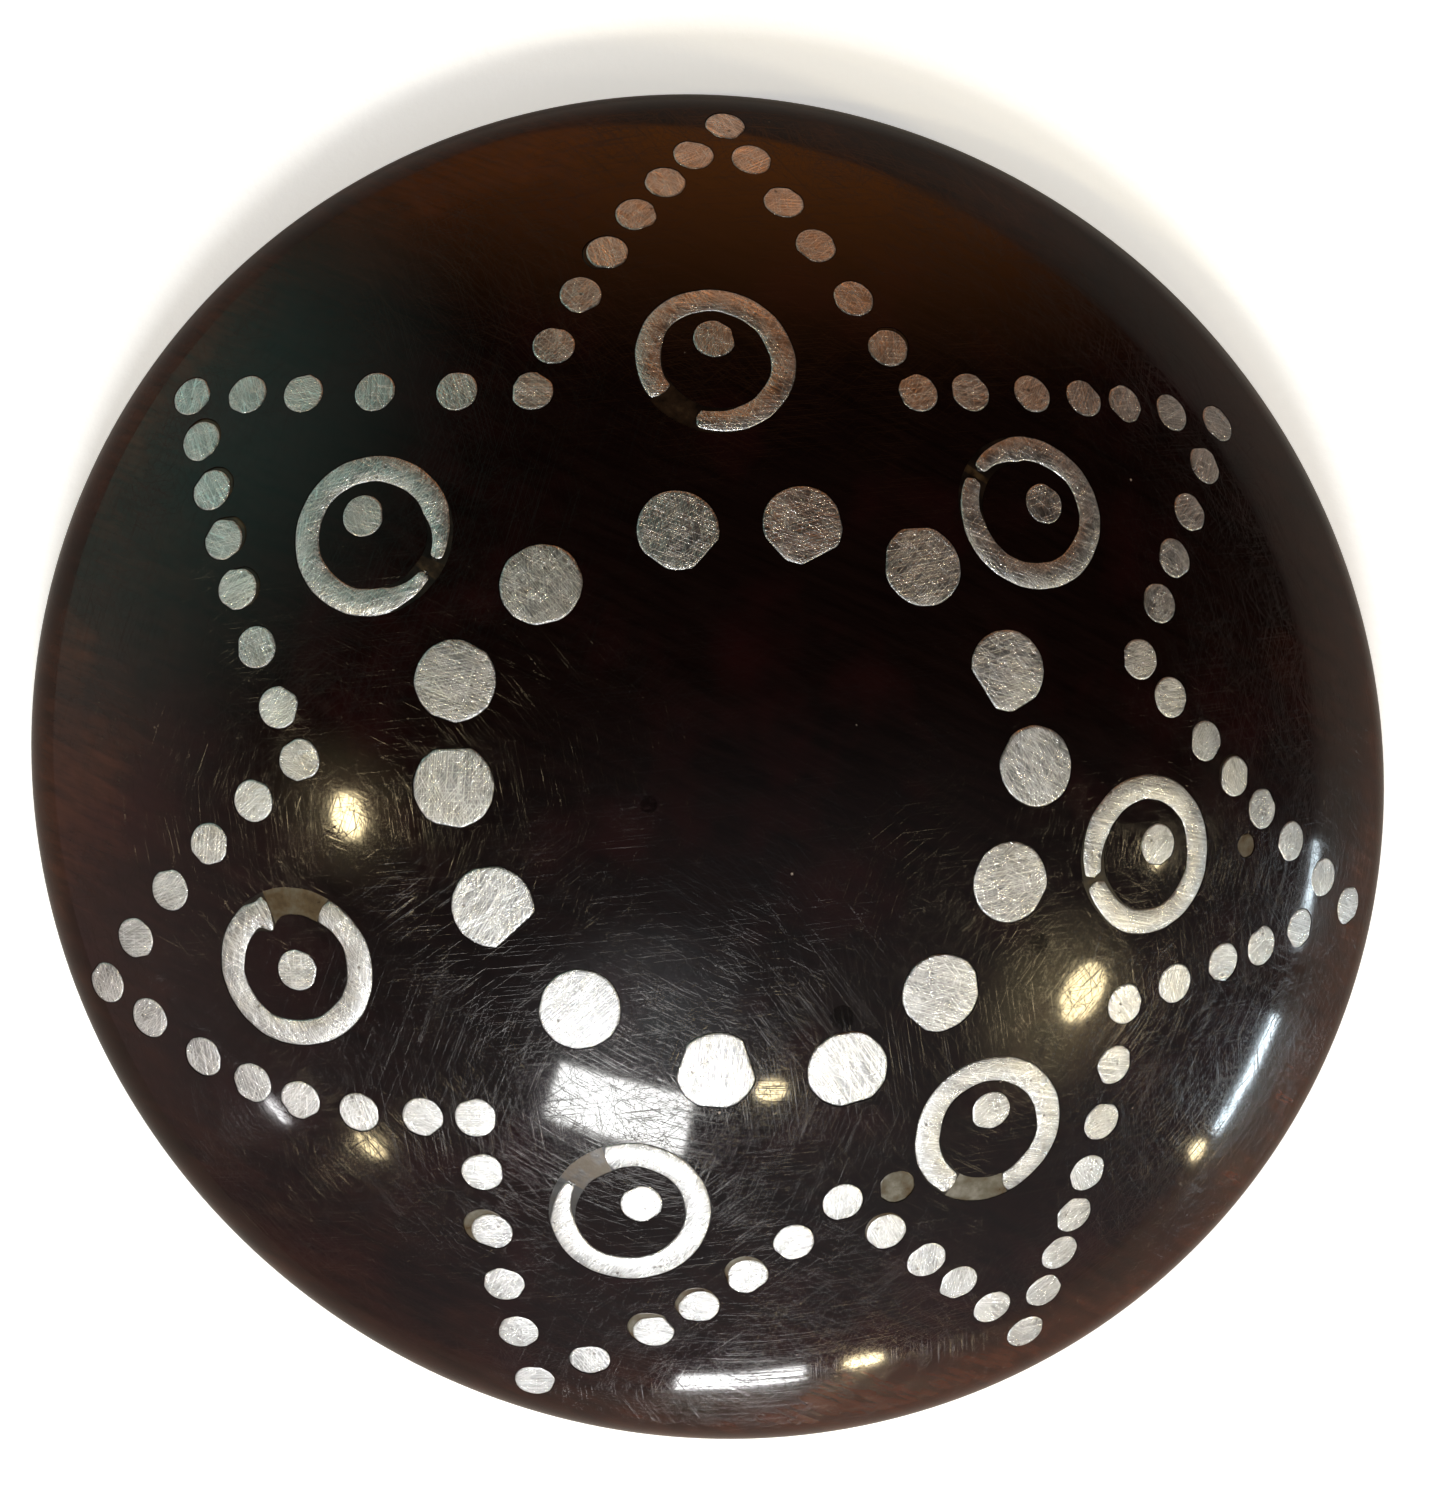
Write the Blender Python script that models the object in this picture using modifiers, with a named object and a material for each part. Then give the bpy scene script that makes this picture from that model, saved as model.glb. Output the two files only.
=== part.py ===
"""Carved hardwood bowl, turned over on its rim, with a seven-pointed star of metal inlay.

The bowl is one turned shell, slightly oval, with flat-bottomed sockets drilled and cut into
its outside. Pieces of metal sit in the sockets: big discs in a circle round the middle, a split
ring with a small off-centre dot in each arm of the star, and a row of small dots along the
star's outline. Metres, +Z up, origin in the middle of the rim's flat face.

Run with: blender --background --python part.py
"""
import math

import bmesh
import bpy
from mathutils import Matrix, Vector

MM = 0.001

# Bowl: a turned shell that has dried a little oval.
BOWL_RADIUS = 55.3 * MM      # at its widest, before it went oval
OVAL = 0.02                  # how much longer and shorter its two axes are
OVAL_BEARING = -31.0         # degrees, direction of the long axis
DOME_RADIUS = 80.0 * MM      # outside curve over the middle
SHOULDER_RADIUS = 6.0 * MM   # outside curve where the dome turns down to the rim
WALL = 4.5 * MM
LIP_DROP = 3.2 * MM          # from the widest place down to the rim's face
LIP_ROUND = 1.3 * MM         # both edges of the rim's face
LEAST_INSIDE_SHOULDER = 0.5 * MM

# Metal pieces.
SMALL_DIAMETER = 3.2 * MM    # star dots and the dots inside the rings
SMALL_DEPTH = 2.4 * MM
LARGE_DIAMETER = 6.2 * MM
LARGE_DEPTH = 2.4 * MM
RING_DIAMETER = 12.4 * MM
RING_BAND = 2.0 * MM
RING_DEPTH = 2.0 * MM
GAP = 0.3 * MM               # seam round and under each metal piece
CUT_ABOVE = 1.0 * MM         # how far a cutter stands out of the wood

# How finely the round shapes are divided.
LATHE_STEPS = 48
DOME_STEPS = 8
SHOULDER_STEPS = 4
LIP_STEPS = 3
INSIDE_DOME_STEPS = 7
INSIDE_SHOULDER_STEPS = 2
LARGE_SIDES = 16
SMALL_SIDES = 10
RING_STEPS = 24
GROOVE_SIDES = 28
MERGE = 0.01 * MM            # points nearer than this become one
SHARP_ANGLE = 40.0           # degrees

# The pattern, laid out from the middle of the bowl: each place is a reach, as a share of
# BOWL_RADIUS, and a bearing in degrees.
STAR_TIPS = ((0.93, 91.5), (0.865, 36), (0.94, 347.5), (0.925, 297), (0.925, 251), (0.95, 198),
             (0.945, 146))
STAR_NOTCHES = ((0.62, 122), (0.57, 68.5), (0.55, 17), (0.605, 327.5), (0.605, 280), (0.62, 229),
                (0.645, 178))
DISC_PLACES = ((0.362, 113), (0.343, 85), (0.348, 55.5), (0.349, 24.5), (0.358, 2), (0.352, 335.5),
               (0.373, 307), (0.414, 283.5), (0.41, 258), (0.416, 229), (0.428, 204),
               (0.443, 181.5), (0.459, 163.5), (0.417, 141.5))
# Each ring has a bearing too, and lies so far out that this much wood is left between it and the
# nearest big disc.
RING_PLACES = ((4.4 * MM, 97.6), (1.0 * MM, 45), (2.7 * MM, 348), (2.8 * MM, 302),
               (3.5 * MM, 252.5), (5.8 * MM, 202), (3.1 * MM, 149))
# Where each split ring is open: bearing and width of the opening, degrees.
RING_OPENINGS = ((232, 36), (163, 5), (197, 9), (265, 52), (133, 40), (96, 56), (328, 14))
# Each ring's dot is this far from the ring's centre, as shares of SMALL_DIAMETER along X and Y.
RING_DOT_SHIFTS = ((0, 0.5), (0.35, 0.2), (0.3, 0.25), (0, 0.5), (0.25, 0.25), (0.05, -0.05),
                   (-0.2, 0.45))

# Sides of the star, from a tip or a notch to the next one anticlockwise: how far the row of
# dots bows outwards, as a share of BOWL_RADIUS, then where along the side each dot is.
STAR_SIDES = (
    ("tip", 0, "notch", 0, 0.030, (0.14, 0.265, 0.40, 0.545, 0.695, 0.86)),
    ("notch", 0, "tip", 6, 0.000, (0.22, 0.46, 0.67, 0.835)),
    ("tip", 6, "notch", 6, 0.016, (0.125, 0.26, 0.395, 0.53, 0.69, 0.855)),
    ("notch", 6, "tip", 5, 0.020, (0.2, 0.405, 0.61, 0.815)),
    ("tip", 5, "notch", 5, 0.062, (0.135, 0.3, 0.44, 0.57, 0.72, 0.875)),
    ("notch", 5, "tip", 4, 0.014, (0.19, 0.405, 0.605, 0.795)),
    ("tip", 4, "notch", 4, 0.022, (0.165, 0.36, 0.505, 0.665, 0.825)),
    ("notch", 4, "tip", 3, -0.002, (0.215, 0.425, 0.6, 0.795)),
    ("tip", 3, "notch", 3, 0.012, (0.135, 0.257, 0.377, 0.505, 0.66, 0.825)),
    ("notch", 3, "tip", 2, -0.002, (0.2, 0.405, 0.575, 0.755)),
    ("tip", 2, "notch", 2, -0.014, (0.135, 0.3, 0.44, 0.57, 0.705, 0.865)),
    ("notch", 2, "tip", 1, -0.004, (0.225, 0.41, 0.605, 0.81)),
    ("tip", 1, "notch", 1, 0.014, (0.17, 0.335, 0.475, 0.645, 0.84)),
    ("notch", 1, "tip", 0, -0.002, (0.16, 0.34, 0.535, 0.7, 0.865)),
)

WOOD = ("Blackwood", (0.018, 0.009, 0.008), 0.22, 0.0)
DISC_METAL = ("Disc metal", (0.55, 0.55, 0.56), 0.32, 1.0)
RING_METAL = ("Ring metal", (0.60, 0.60, 0.60), 0.30, 1.0)
DOT_METAL = ("Dot metal", (0.58, 0.58, 0.58), 0.30, 1.0)


def clear_scene():
    for obj in list(bpy.data.objects):
        bpy.data.objects.remove(obj, do_unlink=True)


def make_collection(name):
    collection = bpy.data.collections.new(name)
    bpy.context.scene.collection.children.link(collection)
    return collection


def make_material(name, colour, roughness, metallic):
    material = bpy.data.materials.new(name)
    material.use_nodes = True
    shader = material.node_tree.nodes["Principled BSDF"]
    shader.inputs["Base Color"].default_value = (*colour, 1.0)
    shader.inputs["Roughness"].default_value = roughness
    shader.inputs["Metallic"].default_value = metallic
    return material


def make_object(name, mesh, collection, material=None):
    obj = bpy.data.objects.new(name, mesh)
    collection.objects.link(obj)
    if material:
        mesh.materials.append(material)
    return obj


# ---- the bowl's section -------------------------------------------------------------------

class Section:
    """A dome arc that turns down, through a shoulder arc, to upright at its widest."""

    def __init__(self, widest, dome, shoulder):
        self.widest = widest
        self.dome = dome
        self.shoulder = shoulder
        self.angle = math.asin((widest - shoulder) / (dome - shoulder))
        self.rise = dome - (dome - shoulder) * math.cos(self.angle)

    def drop(self, radius):
        """How far below the top the surface is at this radius."""
        if radius < self.dome * math.sin(self.angle):
            return self.dome - math.sqrt(self.dome ** 2 - radius ** 2)
        across = min(radius - (self.widest - self.shoulder), self.shoulder)
        return self.rise - math.sqrt(self.shoulder ** 2 - across ** 2)

    def slope(self, radius):
        """Angle of the surface from level at this radius."""
        if radius < self.dome * math.sin(self.angle):
            return math.asin(radius / self.dome)
        across = min((radius - (self.widest - self.shoulder)) / self.shoulder, 1.0)
        return math.asin(across)

    def points(self, top, dome_steps, shoulder_steps):
        """(radius, height) from the axis out to the widest place."""
        found = []
        for i in range(dome_steps):
            angle = self.angle * i / dome_steps
            found.append((self.dome * math.sin(angle), top - self.dome * (1 - math.cos(angle))))
        for i in range(shoulder_steps + 1):
            angle = self.angle + (math.pi / 2 - self.angle) * i / shoulder_steps
            radius = self.widest - self.shoulder + self.shoulder * math.sin(angle)
            found.append((radius, top - self.rise + self.shoulder * math.cos(angle)))
        return found


OUTSIDE = Section(BOWL_RADIUS, DOME_RADIUS, SHOULDER_RADIUS)
INSIDE = Section(BOWL_RADIUS - WALL, DOME_RADIUS - WALL,
                 max(SHOULDER_RADIUS - WALL, LEAST_INSIDE_SHOULDER))
HEIGHT = OUTSIDE.rise + LIP_DROP


def rounded_corner(centre_radius, start, end):
    """Points of a LIP_ROUND quarter circle that touches the rim's face."""
    found = []
    for i in range(LIP_STEPS + 1):
        angle = math.radians(start + (end - start) * i / LIP_STEPS)
        found.append((centre_radius + LIP_ROUND * math.cos(angle),
                      LIP_ROUND + LIP_ROUND * math.sin(angle)))
    return found


def bowl_profile():
    """From the outside's top, down and round the lip, and up the inside to its top."""
    outside = OUTSIDE.points(HEIGHT, DOME_STEPS, SHOULDER_STEPS)
    lip = rounded_corner(BOWL_RADIUS - LIP_ROUND, 0, -90)
    lip += rounded_corner(BOWL_RADIUS - WALL + LIP_ROUND, -90, -180)
    inside = INSIDE.points(HEIGHT - WALL, INSIDE_DOME_STEPS, INSIDE_SHOULDER_STEPS)
    inside.reverse()
    return outside + lip + inside


def make_bowl(collection, material):
    mesh = bpy.data.meshes.new("bowl")
    profile = bowl_profile()
    points = [(radius, 0.0, height) for radius, height in profile]
    edges = [(i, i + 1) for i in range(len(points) - 1)]
    mesh.from_pydata(points, edges, [])
    bowl = make_object("bowl", mesh, collection, material)
    screw = bowl.modifiers.new("Turned on a lathe", "SCREW")
    screw.axis = "Z"
    screw.angle = 2 * math.pi
    screw.steps = LATHE_STEPS
    screw.render_steps = LATHE_STEPS
    screw.use_merge_vertices = True
    screw.merge_threshold = MERGE
    screw.use_smooth_shade = True
    bowl.rotation_euler.z = math.radians(OVAL_BEARING)
    bowl.scale = (1 + OVAL, 1 - OVAL, 1)
    return bowl


# ---- places on the outside ----------------------------------------------------------------

def polar(reach, bearing):
    angle = math.radians(bearing)
    return Vector((reach * BOWL_RADIUS * math.cos(angle), reach * BOWL_RADIUS * math.sin(angle)))


def surface_frame(place):
    """Matrix at a place on the outside: Z out along the normal, X as near +X as it can be."""
    turn = math.radians(OVAL_BEARING)
    stretch = Vector((1 + OVAL, 1 - OVAL))
    flat = Matrix.Rotation(-turn, 2) @ place
    flat = Vector((flat.x / stretch.x, flat.y / stretch.y))
    radius = flat.length
    slope = math.tan(OUTSIDE.slope(radius))
    gradient = Vector((0.0, 0.0))
    if radius > 0:
        gradient = Vector((flat.x / stretch.x, flat.y / stretch.y)) * (slope / radius)
    gradient = Matrix.Rotation(turn, 2) @ gradient
    normal = Vector((gradient.x, gradient.y, 1.0)).normalized()
    across = (Vector((1, 0, 0)) - normal * normal.x).normalized()
    frame = Matrix((across, normal.cross(across), normal)).transposed().to_4x4()
    frame.translation = (place.x, place.y, HEIGHT - OUTSIDE.drop(radius))
    return frame


def ring_place(clearance, bearing):
    """The least reach at this bearing that keeps a ring clear of every big disc."""
    apart = RING_DIAMETER / 2 + LARGE_DIAMETER / 2 + clearance
    direction = polar(1, bearing).normalized()
    reach = 0.0
    for spot in DISC_PLACES:
        disc = polar(*spot)
        along = disc.dot(direction)
        aside = (disc - direction * along).length
        if aside < apart:
            reach = max(reach, along + math.sqrt(apart ** 2 - aside ** 2))
    return direction * reach


def side_places(side):
    start_kind, start, end_kind, end, bow, stations = side
    corners = {"tip": STAR_TIPS, "notch": STAR_NOTCHES}
    first = polar(*corners[start_kind][start])
    last = polar(*corners[end_kind][end])
    along = last - first
    outwards = Vector((along.y, -along.x)).normalized()
    places = []
    for station in stations:
        bulge = bow * BOWL_RADIUS * math.sin(math.pi * station)
        places.append(first + along * station + outwards * bulge)
    return places


# ---- metal pieces and their sockets --------------------------------------------------------

def cylinder_mesh(name, diameter, bottom, top, sides):
    """A cylinder between two heights, along Z."""
    shape = bmesh.new()
    bmesh.ops.create_cone(shape, cap_ends=True, segments=sides, radius1=diameter / 2,
                          radius2=diameter / 2, depth=top - bottom)
    bmesh.ops.translate(shape, verts=shape.verts, vec=(0, 0, (top + bottom) / 2))
    mesh = bpy.data.meshes.new(name)
    shape.to_mesh(mesh)
    shape.free()
    return mesh


def around(diameter, sides, gap=GAP):
    """Diameter of a many-sided socket that leaves a gap all round a piece, flats included."""
    return (diameter + 2 * gap) / math.cos(math.pi / sides)


def make_disc(name, place, diameter, depth, sides, collection, material):
    disc = make_object(name, cylinder_mesh(name, diameter, -depth, 0, sides), collection, material)
    disc.matrix_world = surface_frame(place)
    disc.data.shade_smooth()
    disc.data.set_sharp_from_angle(angle=math.radians(SHARP_ANGLE))
    return disc


def cut_disc(place, diameter, depth, sides, cutters, gap=GAP):
    mesh = cylinder_mesh("socket", around(diameter, sides, gap), -depth - gap, CUT_ABOVE, sides)
    cutter = make_object("socket", mesh, cutters)
    cutter.matrix_world = surface_frame(place)


def band_object(name, inner, outer, bottom, top, opening, steps, collection, material=None):
    """A flat band round Z, open over one bearing, thickened between two heights."""
    bearing, width = opening
    mesh = bpy.data.meshes.new(name)
    start = math.radians(bearing + width / 2)
    ends = [(radius * math.cos(start), radius * math.sin(start), top) for radius in (inner, outer)]
    mesh.from_pydata(ends, [(0, 1)], [])
    band = make_object(name, mesh, collection, material)
    screw = band.modifiers.new("Bent round", "SCREW")
    screw.axis = "Z"
    screw.angle = math.radians(360 - width)
    screw.steps = steps
    screw.render_steps = steps
    screw.use_merge_vertices = width == 0
    screw.merge_threshold = MERGE
    depth = band.modifiers.new("Depth", "SOLIDIFY")
    depth.thickness = top - bottom
    depth.offset = -1
    return band


def ring_sink():
    """How far the dome falls away from its tangent plane under the middle of a ring's band."""
    middle = (RING_DIAMETER - RING_BAND) / 2
    return DOME_RADIUS - math.sqrt(DOME_RADIUS ** 2 - middle ** 2)


def make_ring(name, place, opening, collection, material):
    outer = RING_DIAMETER / 2
    top = -ring_sink()
    band = band_object(name, outer - RING_BAND, outer, top - RING_DEPTH, top, opening, RING_STEPS,
                       collection, material)
    band.matrix_world = surface_frame(place)
    band.data.shade_smooth()
    return band


def cut_ring(place, cutters):
    outer = around(RING_DIAMETER, GROOVE_SIDES) / 2
    inner = RING_DIAMETER / 2 - RING_BAND - GAP
    bottom = -ring_sink() - RING_DEPTH - GAP
    cutter = band_object("groove", inner, outer, bottom, CUT_ABOVE, (0, 0), GROOVE_SIDES,
                         cutters)
    cutter.matrix_world = surface_frame(place)


def make_small(name, place, collection, cutters, material):
    make_disc(name, place, SMALL_DIAMETER, SMALL_DEPTH, SMALL_SIDES, collection, material)
    cut_disc(place, SMALL_DIAMETER, SMALL_DEPTH, SMALL_SIDES, cutters)


def make_discs(collection, even_cutters, odd_cutters, material):
    for i, spot in enumerate(DISC_PLACES):
        place = polar(*spot)
        cutters = odd_cutters if i % 2 else even_cutters
        make_disc(f"large_disc_{i + 1:02d}", place, LARGE_DIAMETER, LARGE_DEPTH, LARGE_SIDES,
                  collection, material)
        cut_disc(place, LARGE_DIAMETER, LARGE_DEPTH, LARGE_SIDES, cutters)


def make_rings(collection, cutters, material):
    for i, spot in enumerate(RING_PLACES):
        place = ring_place(*spot)
        make_ring(f"ring_{i + 1}", place, RING_OPENINGS[i], collection, material)
        cut_ring(place, cutters)


def make_ring_dots(collection, cutters, material):
    for i, spot in enumerate(RING_PLACES):
        place = ring_place(*spot) + Vector(RING_DOT_SHIFTS[i]) * SMALL_DIAMETER
        make_small(f"ring_dot_{i + 1}", place, collection, cutters, material)


def make_corner_dots(collection, cutters, material):
    for i, spot in enumerate(STAR_TIPS):
        make_small(f"tip_dot_{i + 1}", polar(*spot), collection, cutters, material)
    for i, spot in enumerate(STAR_NOTCHES):
        make_small(f"notch_dot_{i + 1}", polar(*spot), collection, cutters, material)


def make_side_dots(collection, even_cutters, odd_cutters, material):
    """The middle dot of each side of the star, and a bare socket for each of its other dots."""
    for i, side in enumerate(STAR_SIDES):
        places = side_places(side)
        middle = len(places) // 2
        for k, place in enumerate(places):
            cutters = odd_cutters if k % 2 else even_cutters
            if k == middle:
                make_small(f"side_dot_{i + 1:02d}", place, collection, cutters, material)
            else:
                cut_disc(place, SMALL_DIAMETER, SMALL_DEPTH, SMALL_SIDES, cutters, gap=0)


def join_cutters(cutters):
    """One cutter mesh that holds a pass of sockets, in world space."""
    bpy.context.view_layer.update()
    graph = bpy.context.evaluated_depsgraph_get()
    shape = bmesh.new()
    for cutter in list(cutters.objects):
        mesh = bpy.data.meshes.new_from_object(cutter.evaluated_get(graph))
        mesh.transform(cutter.matrix_world)
        shape.from_mesh(mesh)
        bpy.data.meshes.remove(mesh)
    for cutter in list(cutters.objects):
        bpy.data.objects.remove(cutter, do_unlink=True)
    bmesh.ops.recalc_face_normals(shape, faces=shape.faces)
    joined = bpy.data.meshes.new("sockets")
    shape.to_mesh(joined)
    shape.free()
    sockets = make_object("sockets", joined, cutters)
    sockets.hide_render = True
    sockets.display_type = "WIRE"
    return sockets


def cut_sockets(bowl, sockets):
    cut = bowl.modifiers.new("Sockets", "BOOLEAN")
    cut.operation = "DIFFERENCE"
    cut.solver = "EXACT"
    cut.object = sockets


def main():
    clear_scene()
    parts = make_collection("Carved bowl")
    bowl = make_bowl(parts, make_material(*WOOD))
    disc_metal = make_material(*DISC_METAL)
    ring_metal = make_material(*RING_METAL)
    dot_metal = make_material(*DOT_METAL)
    # Neighbours are cut in different passes, so sockets may run into each other.
    groove, corner, even, odd = (make_collection(f"Cutters for {name}")
                                 for name in ("rings", "corners", "even dots", "odd dots"))
    make_discs(parts, even, odd, disc_metal)
    make_rings(parts, groove, ring_metal)
    make_ring_dots(parts, corner, dot_metal)
    make_corner_dots(parts, corner, dot_metal)
    make_side_dots(parts, even, odd, dot_metal)
    for cutters in (groove, corner, even, odd):
        cut_sockets(bowl, join_cutters(cutters))


main()
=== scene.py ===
"""The finish of a carved hardwood bowl with metal inlay, lying turned over on its rim.

The bowl is near-black polished wood, browner towards the rim. Let into it are seven arms of
small metal dots, a circle of big discs, and a split ring with a dot in each arm. Metres, +Z up.
"""
import math
import random

import bmesh
import bpy
import numpy as np
from mathutils import Matrix, Vector


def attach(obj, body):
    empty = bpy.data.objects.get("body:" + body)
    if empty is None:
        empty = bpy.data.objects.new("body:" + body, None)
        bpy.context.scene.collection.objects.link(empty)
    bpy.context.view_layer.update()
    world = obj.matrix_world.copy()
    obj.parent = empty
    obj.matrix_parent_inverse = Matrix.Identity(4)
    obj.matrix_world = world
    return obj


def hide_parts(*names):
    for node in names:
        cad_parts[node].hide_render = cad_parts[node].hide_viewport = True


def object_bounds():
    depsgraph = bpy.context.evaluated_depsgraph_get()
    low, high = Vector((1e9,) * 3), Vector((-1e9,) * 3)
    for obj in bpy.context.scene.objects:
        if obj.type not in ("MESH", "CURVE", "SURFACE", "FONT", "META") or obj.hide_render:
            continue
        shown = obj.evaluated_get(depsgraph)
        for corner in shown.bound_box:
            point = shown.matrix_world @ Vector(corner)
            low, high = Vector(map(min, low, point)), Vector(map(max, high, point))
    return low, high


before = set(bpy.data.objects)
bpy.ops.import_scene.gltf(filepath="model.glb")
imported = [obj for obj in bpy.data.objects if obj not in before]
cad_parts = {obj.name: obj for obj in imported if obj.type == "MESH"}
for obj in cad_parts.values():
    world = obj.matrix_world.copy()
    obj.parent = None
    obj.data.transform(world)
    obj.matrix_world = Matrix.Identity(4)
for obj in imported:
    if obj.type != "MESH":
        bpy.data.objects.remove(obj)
cad_low, cad_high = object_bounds()

MM = 0.001
SEED = 7

# ---- sizes, as the frame was built to ------------------------------------------------------
BOWL_RADIUS = 55.3 * MM
OVAL = 0.02
OVAL_BEARING = math.radians(-31)
DOME_RADIUS = 80.0 * MM
SHOULDER_RADIUS = 6.0 * MM
WALL = 4.5 * MM
LIP_ROUND = 1.3 * MM
HEIGHT = cad_high.z - cad_low.z

SMALL_DIAMETER = 3.2 * MM
LARGE_DIAMETER = 6.2 * MM
RING_DIAMETER = 12.4 * MM
RING_BAND = 2.0 * MM
PIECE_DEPTH = 1.2 * MM       # how deep the metal that can be seen reaches
SOCKET_DEPTH = 1.3 * MM
SEAM = 0.045 * MM            # resin round a well-fitted piece
RESIN_SINK = 0.05 * MM       # how far the resin lies under the wood's surface
PROUD = 0.03 * MM            # how far the metal stands over the wood
CUT_ABOVE = 0.8 * MM         # how far the cutters stand out of the wood
RESIN_LIFT = 0.1 * MM        # gap between the resin and the floor of its socket
DARK = 0.05                  # tone of the resin in a tight seam
METAL_BEVEL = 0.11 * MM
WAVE_FADE = 9 * MM           # the hand waves die out over this width, inside the rim
TURNING_DEPTH = 0.03 * MM    # turning lines on the inside
TURNING_WIDTH = 0.42 * MM

# ---- how finely the shapes are divided -----------------------------------------------------
BOWL_SIDES = 288
OUTSIDE_STEPS = (84, 22)     # along the dome and along the shoulder
INSIDE_STEPS = (60, 8)
LIP_STEPS = 8
DISC_SIDES = 72
DOT_SIDES = 48
HOLE_SIDES = 40
RING_STEPS = 150
GROOVE_DEGREES = 3
SHARP_WOOD = 38              # edges sharper than this many degrees stay crisp
SHARP_METAL = 50
SHARP_RESIN = 30

# Where the pieces go: reach as a share of BOWL_RADIUS, and bearing in degrees.
STAR_TIPS = ((0.93, 91.5), (0.865, 36), (0.94, 347.5), (0.925, 297), (0.925, 251), (0.95, 198),
             (0.945, 146))
STAR_NOTCHES = ((0.62, 122), (0.57, 68.5), (0.55, 17), (0.605, 327.5), (0.605, 280), (0.62, 229),
                (0.645, 178))
DISC_PLACES = ((0.362, 113), (0.343, 85), (0.348, 55.5), (0.349, 24.5), (0.358, 2), (0.352, 335.5),
               (0.373, 307), (0.414, 283.5), (0.41, 258), (0.416, 229), (0.428, 204),
               (0.443, 181.5), (0.459, 163.5), (0.417, 141.5))
# Each ring has a bearing too, and lies so far out that this much wood is left between it and the
# nearest big disc.
RING_PLACES = ((4.4 * MM, 97.6), (1.0 * MM, 45), (2.7 * MM, 348), (2.8 * MM, 302),
               (3.5 * MM, 252.5), (5.8 * MM, 202), (3.1 * MM, 149))
# How far each ring's dot lies from its ring's centre, in dot diameters.
RING_DOT_SHIFTS = ((0, 0.5), (0.35, 0.2), (0.3, 0.25), (0, 0.5), (0.25, 0.25), (0.05, -0.05),
                   (-0.2, 0.45))
# Each side of the star: where it starts and ends, how far it bows out as a share of
# BOWL_RADIUS, and how far along it each dot lies.
STAR_SIDES = (
    ("tip", 0, "notch", 0, 0.030, (0.14, 0.265, 0.40, 0.545, 0.695, 0.86)),
    ("notch", 0, "tip", 6, 0.000, (0.22, 0.46, 0.67, 0.835)),
    ("tip", 6, "notch", 6, 0.016, (0.125, 0.26, 0.395, 0.53, 0.69, 0.855)),
    ("notch", 6, "tip", 5, 0.020, (0.2, 0.405, 0.61, 0.815)),
    ("tip", 5, "notch", 5, 0.062, (0.135, 0.3, 0.44, 0.57, 0.72, 0.875)),
    ("notch", 5, "tip", 4, 0.014, (0.19, 0.405, 0.605, 0.795)),
    ("tip", 4, "notch", 4, 0.022, (0.165, 0.36, 0.505, 0.665, 0.825)),
    ("notch", 4, "tip", 3, -0.002, (0.215, 0.425, 0.6, 0.795)),
    ("tip", 3, "notch", 3, 0.012, (0.135, 0.257, 0.377, 0.505, 0.66, 0.825)),
    ("notch", 3, "tip", 2, -0.002, (0.2, 0.405, 0.575, 0.755)),
    ("tip", 2, "notch", 2, -0.014, (0.135, 0.3, 0.44, 0.57, 0.705, 0.865)),
    ("notch", 2, "tip", 1, -0.004, (0.225, 0.41, 0.605, 0.81)),
    ("tip", 1, "notch", 1, 0.014, (0.17, 0.335, 0.475, 0.645, 0.84)),
    ("notch", 1, "tip", 0, -0.002, (0.16, 0.34, 0.535, 0.7, 0.865)),
)

# Hand work on single pieces. A flat is (bearing of its middle, how deep it cuts, as a share of
# the piece's radius).
DISC_FLATS = {
    0: ((-42, 0.11), (-128, 0.05)), 1: ((-62, 0.14), (-140, 0.06), (10, 0.04)),
    2: ((175, 0.05), (95, 0.04)), 3: ((214, 0.17), (-60, 0.06)), 4: ((150, 0.04),),
    5: ((-30, 0.04),), 6: ((10, 0.03), (-130, 0.05)), 7: ((-75, 0.08), (100, 0.03)),
    8: ((20, 0.16), (165, 0.09), (-95, 0.05)), 9: ((170, 0.03),), 10: ((-46, 0.21), (100, 0.03)),
    11: ((92, 0.10), (-100, 0.04)), 12: ((-110, 0.04), (60, 0.04)), 13: ((120, 0.03), (-80, 0.04)),
}
# Split rings: bearing and width of the opening, how far the band thins towards its two ends, how
# far the first end hooks inwards, and how pale the resin in the opening is, 0 dark to 1 grey.
RING_OPENINGS = (
    (232, 36, (0.3, 0.1), 0.0, 0.22),
    (150, 9, (0.35, 0.5), 0.0, 0.35),
    (199, 5, (0.25, 0.3), 0.0, 0.2),
    (265, 50, (0.0, 0.1), 0.0, 0.80),
    (133, 38, (0.65, 0.0), 0.0, 0.50),
    (92, 50, (0.0, 0.0), 0.80 * MM, 0.62),
    (328, 12, (0.5, 0.55), 0.0, 0.30),
)
# Small dots that don't fill their sockets: side of the star, place along it, bearing of the
# resin that shows, its width as a share of the dot's radius, and how pale it is.
LOOSE_DOTS = {
    (5, 1): (150, 0.45, 0.75), (6, 1): (135, 0.40, 0.8), (6, 2): (130, 0.30, 0.6),
    (6, 3): (125, 0.28, 0.7), (2, 0): (60, 0.16, 0.3), (2, 1): (35, 0.22, 0.35),
    (2, 2): (30, 0.25, 0.4), (2, 3): (15, 0.2, 0.3), (13, 0): (60, 0.2, 0.3),
    (0, 3): (200, 0.2, 0.25), (10, 3): (150, 0.15, 0.3), (7, 0): (130, 0.14, 0.5),
}
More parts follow.
